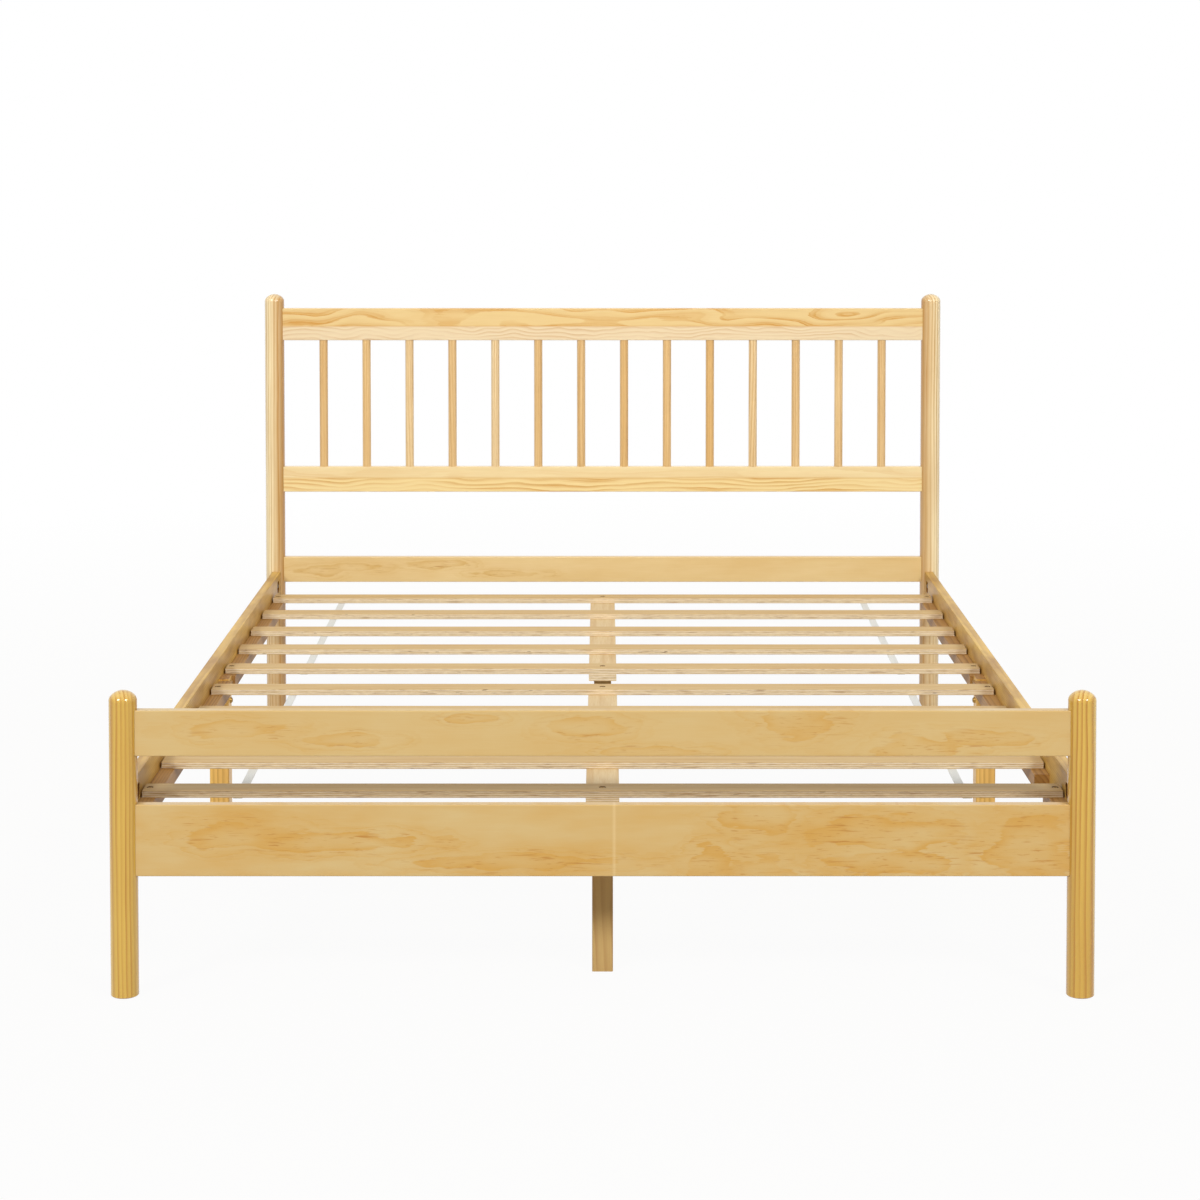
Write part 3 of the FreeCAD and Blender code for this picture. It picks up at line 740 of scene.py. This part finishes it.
class BED_OT_spindles(bpy.types.Operator):
    """Turned pine of the spindles, each in a tone of its own"""
    bl_idname = "bed.spindles"
    bl_label = "Spindles"

    def execute(self, context):
        tones = colours()
        first = place_of(SPINDLES[0])
        pitch = place_of(SPINDLES[1]).x - first.x

        def own_tone(node, early):
            cell = node("VectorMath", pattern(node, (first.x - pitch / 2, 0, 0),
                                              (pitch, ENDLESS, ENDLESS)), operation="FLOOR")
            chance = node("TexWhiteNoise", cell, output="Value")
            return node("Mix", chance, early, tones.spindle_deep, data_type="RGBA")

        dress(SPINDLES, solid_pine(
            "Lacquered_turned_pine_spindle", tones.spindle_pale, tones.post_late, "z",
            (0.0, first.y + 0.03, 0.0), spacing=sizes().ring_spacing, contrast=0.6,
            waviness=1.5, roughness=0.3, coat=0.5, shade=own_tone))
        return {"FINISHED"}


class BED_OT_cross_rails(bpy.types.Operator):
    """Glued and flat-sawn pine of the headboard's and footboard's rails"""
    bl_idname = "bed.cross_rails"
    bl_label = "Cross rails"

    def execute(self, context):
        tones = colours()
        for name, split, upper, lower in (
                ("head_top_rail", 0.44,
                 Strip(tones.strip_upper, tones.strip_late, 0.95,
                       Figure(spacing=30 * MM, wave=8.0, along=0.36, profile=FLAME)),
                 Strip(tones.strip_lower, tones.strip_line, 0.6,
                       Figure(spacing=9 * MM, wave=5.5, along=0.13, profile=RING))),
                ("head_spindle_rail", 0.55,
                 Strip(tones.strip_pale, tones.strip_late, 0.3,
                       Figure(spacing=45 * MM, wave=4.0, along=0.5, profile=FLAME)),
                 Strip(tones.strip_warm, tones.strip_late, 1.0,
                       Figure(spacing=10 * MM, wave=5.5, along=0.26, profile=RING)))):
            dress([name], glued_pine("Lacquered_glued_pine_" + name, name, split, upper, lower))
        for name, wood in FLAT_WOOD.items():
            dress([name], flat_pine("Lacquered_flat_sawn_pine_" + name, name,
                                    getattr(tones, wood.ground), wood))
        return {"FINISHED"}


class BED_OT_side_rails(bpy.types.Operator):
    """Pine of the side rails and of the ledgers on their inner faces"""
    bl_idname = "bed.side_rails"
    bl_label = "Side rails and ledgers"

    def execute(self, context):
        tones, ring = colours(), sizes().ring_spacing
        for name in SIDE_RAILS:
            pith = (place_of(name).x * 1.06, 0, 0.16)  # outside the rail and under it
            dress([name], solid_pine(
                "Lacquered_sawn_pine_" + name, tones.side_pale, tones.side_deep, "y", pith,
                spacing=ring * 0.8, contrast=0.5, waviness=1.0, roughness=0.45, coat=0.1,
                shade=stain_and_painted_pocket_shade(*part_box(name), tones.side_deep), cloudiness=0.45))
        dress(LEDGERS, solid_pine(
            "Planed_pine_ledger", tones.batten_pale, tones.batten_deep, "y", (0.70, 0, 0.22),
            spacing=ring, contrast=0.7, waviness=1.2, roughness=0.5, coat=0.0))
        return {"FINISHED"}


class BED_OT_legs(bpy.types.Operator):
    """Pine of the legs at mid length and under the centre boards"""
    bl_idname = "bed.legs"
    bl_label = "Legs"

    def execute(self, context):
        tones, ring = colours(), sizes().ring_spacing
        for name in MID_LEGS:
            dress([name], solid_pine(
                "Planed_pine_" + name, tones.mid_leg_pale, tones.mid_leg_deep, "z",
                (place_of(name).x + 0.06, 0.03, 0), spacing=ring, contrast=0.7, waviness=0.8,
                roughness=0.42, coat=0.2, shade=end_grain))
        for name in CENTRE_LEGS:
            dress([name], solid_pine(
                "Planed_pine_" + name, tones.centre_leg_pale, tones.centre_leg_deep, "z",
                (0.05, place_of(name).y + 0.02, 0), spacing=ring * 1.3, contrast=0.4,
                waviness=1.4, roughness=0.5, coat=0.0))
        return {"FINISHED"}


class BED_OT_slats(bpy.types.Operator):
    """Plywood of the slats and the centre boards"""
    bl_idname = "bed.slats"
    bl_label = "Slats and centre boards"

    def execute(self, context):
        tones = colours()
        first, second = place_of(SLATS[0]).y, place_of(SLATS[1]).y
        dress(SLATS, plywood(
            "Sanded_plywood_slat", SLATS[0], tones.veneer, grain="x", plies=7,
            counterbores=Counterbores(screw_reach(), first, pitch=first - second)))
        dress(CENTRE_BOARDS, plywood(
            "Sanded_plywood_board", CENTRE_BOARDS[0], tones.board_veneer, grain="y", plies=8))
        return {"FINISHED"}


class BED_OT_straps(bpy.types.Operator):
    """Webbing straps stapled under the slats of each mat"""
    bl_idname = "bed.straps"
    bl_label = "Straps"

    def execute(self, context):
        sized, cloth = sizes(), webbing()
        width = sized.webbing_width
        for mat in MATS:
            low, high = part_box("slat_straps_" + mat)
            thick = high.z - low.z
            crossed = slats_over(low, high)
            centres = [place_of(name).y for name in crossed]
            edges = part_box(crossed[0])
            half_slat = (edges[1].y - edges[0].y) / 2
            room = (centres[0] - centres[1]) / 2 - half_slat
            for side, x in (("left", low.x + width / 2), ("right", high.x - width / 2)):
                tool = bmesh.new()
                bmesh.ops.create_grid(tool, x_segments=6, y_segments=180, size=0.5,
                                      matrix=Matrix.Diagonal((width, high.y - low.y, 1, 1)))
                bmesh.ops.translate(tool, verts=tool.verts, vec=Vector(
                    (x, (low.y + high.y) / 2, high.z - thick * STRAP_DEPTH)))
                for vert in tool.verts:
                    away = min(abs(vert.co.y - centre) for centre in centres)
                    share = min(max(0.0, away - half_slat) / room, 1.0)
                    vert.co.z -= sized.webbing_sag * (1 - (1 - share) ** 2)
                bmesh.ops.solidify(tool, geom=tool.faces[:], thickness=-thick * STRAP_FILL)
                piece = new_piece("strap_%s_%s" % (mat, side), tool, cloth)
                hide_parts("slat_straps_" + mat)
        return {"FINISHED"}


class BED_OT_staples(bpy.types.Operator):
    """Staples that hold the straps to the slats"""
    bl_idname = "bed.staples"
    bl_label = "Staples"

    def execute(self, context):
        sized = sizes()
        wire, inset = sized.staple_wire, sized.webbing_width / 2
        crown = Matrix.Diagonal((sized.staple_crown, wire * STAPLE_WIDTH, wire * STAPLE_HEIGHT, 1))
        tool = bmesh.new()
        for mat in MATS:
            low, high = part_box("slat_straps_" + mat)
            for x in (low.x + inset, high.x - inset):
                for name in slats_over(low, high):
                    middle = Vector((x, place_of(name).y, low.z - wire * STAPLE_DROP))
                    bmesh.ops.create_cube(tool, size=1.0,
                                          matrix=Matrix.Translation(middle) @ crown)
        bmesh.ops.bevel(tool, geom=tool.edges[:], offset=wire * STAPLE_ROUNDING,
                        offset_type="OFFSET", affect="EDGES", segments=2, profile=0.5,
                        material=-1)
        new_piece("strap_staples", tool, zinc())
        return {"FINISHED"}


class BED_OT_slat_screws(bpy.types.Operator):
    """Screw heads in the counterbores of the first and last slat of each mat"""
    bl_idname = "bed.slat_screws"
    bl_label = "Slat screws"

    def execute(self, context):
        sized = sizes()
        tool = bmesh.new()
        reach = screw_reach()
        half = sized.screw_head / 2
        flat = (sized.screw_head - sized.screw_recess) / 2 - SCREW_RIM
        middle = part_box(SLATS[0])[1].z - SCREW_SEAT + SCREW_SIDES / 2
        for name in FIXED_SLATS:
            for x in (-reach, 0.0, reach):
                head = bmesh.ops.create_cone(
                    tool, cap_ends=True, segments=24, radius1=half, radius2=half,
                    depth=SCREW_SIDES,
                    matrix=Matrix.Translation((x, place_of(name).y, middle)))
                faces = {face for vert in head["verts"] for face in vert.link_faces}
                crown = [max(faces, key=lambda face: face.calc_center_median().z)]
                for inwards, rise in ((SCREW_RIM, SCREW_RIM_RISE), (flat, 0.0),
                                      (RECESS_TAPER, -RECESS_DEPTH)):
                    bmesh.ops.inset_region(tool, faces=crown, thickness=inwards, depth=rise)
        new_piece("slat_screw_heads", tool, dark_brown_zinc())
        return {"FINISHED"}


class BED_OT_leg_bolts(bpy.types.Operator):
    """Button-head bolts of the legs at mid length, and the steel of the side rails' bolts"""
    bl_idname = "bed.leg_bolts"
    bl_label = "Bolts"

    def execute(self, context):
        sized = sizes()
        dress(STEEL_NODES, zinc())
        low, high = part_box("mid_leg_bolts")
        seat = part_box("mid_leg_right")[0].x
        shank = high.x - seat
        half, tall = sized.bolt_head / 2, sized.bolt_head_height
        socket = sized.bolt_socket / 2
        profile = (
            (0.0, tall * SOCKET_FLOOR), (socket, tall * SOCKET_FLOOR), (socket, tall),
            *((half * out, tall * up) for out, up in BUTTON),
            (SHANK_HALF, 0.0), (SHANK_HALF, SHANK_CHAMFER - shank),
            (SHANK_HALF - SHANK_CHAMFER, -shank), (0.0, -shank))
        tool = bmesh.new()
        for side in (-1, 1):
            for z in (low.z + half, high.z - half):
                facing = (Matrix.Translation((side * seat, 0, z))
                          @ Matrix.Rotation(-side * math.pi / 2, 4, "Y"))
                verts = [tool.verts.new(facing @ Vector((radius, 0.0, height)))
                         for radius, height in profile]
                edges = [tool.edges.new(pair) for pair in zip(verts, verts[1:])]
                bmesh.ops.spin(tool, geom=verts + edges, cent=facing.translation,
                               axis=(side, 0, 0), angle=2 * math.pi, steps=32, use_merge=True)
        bmesh.ops.remove_doubles(tool, verts=tool.verts, dist=1e-6)
        bmesh.ops.dissolve_degenerate(tool, edges=tool.edges, dist=1e-6)
        piece = new_piece("mid_leg_button_bolts", tool, dark_brown_zinc())
        piece.data.polygons.foreach_set("use_smooth", [True] * len(piece.data.polygons))
        piece.data.set_sharp_from_angle(angle=SMOOTH_BELOW)
        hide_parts("mid_leg_bolts")
        return {"FINISHED"}


class BED_OT_stage(bpy.types.Operator):
    """Floor, soft lamps and camera"""
    bl_idname = "bed.stage"
    bl_label = "Stage"

    def execute(self, context):
        scene = context.scene
        tones = colours()
        made, node = begin("Matt_white_floor")
        away = node("VectorMath", pattern(node, ORIGIN, FLOOR_FADE), operation="LENGTH")
        share = node("ValToRGB", away, stops=((0.2, 0.95), (0.6, 1.0)))
        share = node("Math", share, seen_white(node), operation="MULTIPLY")
        tone = patches(node, pattern(node, ORIGIN, FLOOR_GRIT),
                       ((0.3, tones.floor_deep), (0.7, tones.floor_pale)))
        bright = node("Emission", (1, 1, 1), 1.0)
        mixed = node("MixShader", share, node("BsdfDiffuse", tone), bright)
        node("OutputMaterial", mixed)
        tool = bmesh.new()
        bmesh.ops.create_grid(tool, x_segments=1, y_segments=1, size=FLOOR_SIZE)
        mesh = bpy.data.meshes.new("floor")
        tool.to_mesh(mesh)
        tool.free()
        mesh.materials.append(made)
        floor = bpy.data.objects.new("floor", mesh)
        scene.collection.objects.link(floor)

        # The sky is brighter upwards, and brighter still at the left and right
        world = bpy.data.worlds.new("Studio")
        world.use_nodes = True
        scene.world = world
        world.node_tree.nodes.clear()
        node = partial(add, world.node_tree)
        seen = node("TexCoord", output="Generated")
        sky = node("MapRange", node("SeparateXYZ", seen, output="Z"), -0.1, 1.0, 0.04, 0.74)
        beside = node("Math", node("SeparateXYZ", seen, output="X"), 6.0, operation="POWER")
        sky = node("Math", beside, 0.8, sky, operation="MULTIPLY_ADD")
        strength = node("Math", seen_white(node), sky, operation="MAXIMUM")
        node("OutputWorld", node("Background", (1, 1, 1), strength))

        for plan in LAMPS:
            lamp = bpy.data.lights.new(plan.name, "AREA")
            lamp.shape = "RECTANGLE"
            lamp.size, lamp.size_y = plan.size
            lamp.energy = plan.power
            lamp.spread = math.radians(plan.beam)
            holder = bpy.data.objects.new(plan.name, lamp)
            holder.location = plan.place
            line = Vector(plan.aim) - Vector(plan.place)
            holder.rotation_euler = line.to_track_quat("-Z", "Y").to_euler()
            scene.collection.objects.link(holder)

        lens = bpy.data.cameras.new("Camera")
        lens.sensor_width, lens.lens = CAMERA_SENSOR, CAMERA_LENS
        lens.shift_x, lens.shift_y = CAMERA_SHIFT
        lens.clip_start, lens.clip_end = CAMERA_CLIP
        camera = bpy.data.objects.new("Camera", lens)
        camera.location = CAMERA_PLACE
        camera.rotation_euler = (CAMERA_TILT, 0, 0)
        scene.collection.objects.link(camera)
        scene.camera = camera
        scene.view_settings.view_transform = "Standard"
        return {"FINISHED"}


OPERATORS = (BED_OT_posts, BED_OT_spindles, BED_OT_cross_rails, BED_OT_side_rails, BED_OT_legs,
             BED_OT_slats, BED_OT_straps, BED_OT_staples, BED_OT_slat_screws, BED_OT_leg_bolts,
             BED_OT_stage)


class BED_PT_panel(bpy.types.Panel):
    """Lists the bed's pieces"""
    bl_label = "Spindle Bed"
    bl_idname = "BED_PT_panel"
    bl_space_type = "VIEW_3D"
    bl_region_type = "UI"
    bl_category = "Spindle Bed"

    def draw(self, context):
        for operator in OPERATORS:
            self.layout.operator(operator.bl_idname)
        for group in (context.scene.bed_sizes, context.scene.bed_colours):
            for name in group.bl_rna.properties.keys():
                if name not in ("rna_type", "name"):
                    self.layout.prop(group, name)


CLASSES = (BedColours, BedSizes, *OPERATORS, BED_PT_panel)


def register():
    for item in CLASSES:
        bpy.utils.register_class(item)
    bpy.types.Scene.bed_colours = PointerProperty(type=BedColours)
    bpy.types.Scene.bed_sizes = PointerProperty(type=BedSizes)


def unregister():
    del bpy.types.Scene.bed_sizes
    del bpy.types.Scene.bed_colours
    for item in reversed(CLASSES):
        bpy.utils.unregister_class(item)


def main():
    register()
    for operator in OPERATORS:
        group, name = operator.bl_idname.split(".")
        getattr(getattr(bpy.ops, group), name)()


if __name__ == "__main__":
    main()
